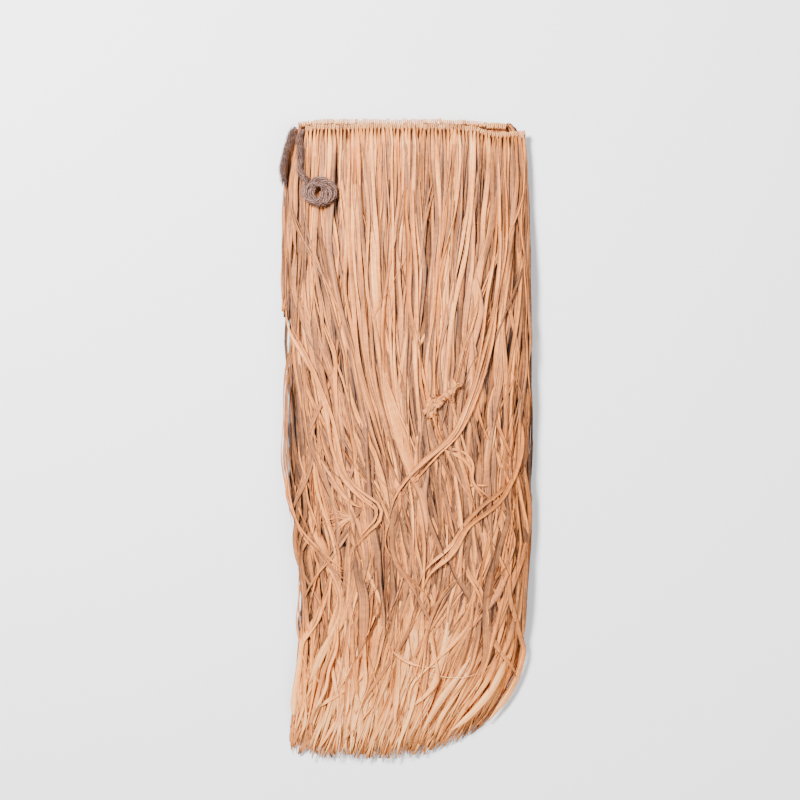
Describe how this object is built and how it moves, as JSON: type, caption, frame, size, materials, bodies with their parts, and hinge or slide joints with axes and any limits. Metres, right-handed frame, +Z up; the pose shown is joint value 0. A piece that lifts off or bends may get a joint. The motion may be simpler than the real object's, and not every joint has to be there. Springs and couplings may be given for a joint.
{
  "type": "grass skirt",
  "caption": "Raffia grass skirt laid flat in folded layers: knotted heading over a jute waist cord, long ragged raffia locks, cord ends free at one side.",
  "frame": {"origin": "centre of the outline, on the table under the skirt", "axes": "+X across the fold towards the side with no tie, +Y towards the waist, +Z up off the table"},
  "size_m": [0.2671, 0.6721, 0.045],
  "materials": {
    "raffia_shaded": "dry raffia in shade, matte",
    "raffia": "dry natural raffia, matte with a faint sheen along the fibre",
    "raffia_heading": "pale looped raffia, matte",
    "jute": "hairy plied jute, matte"
  },
  "bodies": {
    "root": {"folded_layers": "raffia_shaded", "fringe_front": "raffia", "fringe_left": "raffia", "fringe_hem": "raffia_shaded", "heading_front": "raffia_heading", "heading_back": "raffia_heading", "tie_short": "jute", "tie_long": "jute", "tie_hank": "jute"}
  },
  "joints": []
}
